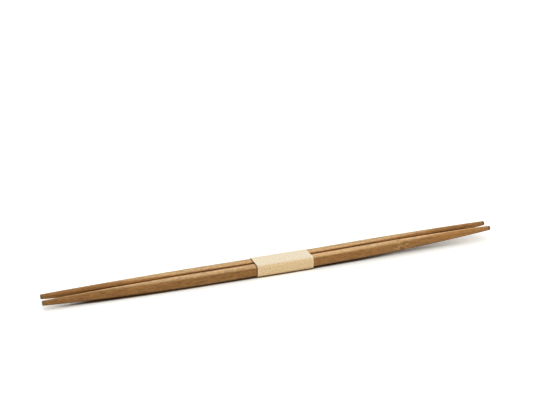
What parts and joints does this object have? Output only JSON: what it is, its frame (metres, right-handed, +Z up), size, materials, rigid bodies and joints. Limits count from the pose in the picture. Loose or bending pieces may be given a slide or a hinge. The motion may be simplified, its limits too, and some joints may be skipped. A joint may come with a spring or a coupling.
{
  "type": "bamboo chopsticks",
  "caption": "Slim bamboo chopsticks, squarish in the middle and tapered to round tips at both ends, lying side by side in a wrapped and glued paper band.",
  "frame": {"origin": "on the surface that the part rests on, under the middle of the pair and of the band", "axes": "+X along the sticks, +Y from the front stick to the back stick, +Z up"},
  "size_m": [0.24, 0.012, 0.0074],
  "materials": {
    "bamboo": "brown steamed bamboo, sanded and unvarnished, with fine straight fibres",
    "band_paper": "uncoated cream kraft paper, matt, with faint fibres"
  },
  "bodies": {
    "root": {"front_stick": "bamboo", "back_stick": "bamboo", "paper_band": "band_paper"}
  },
  "joints": []
}
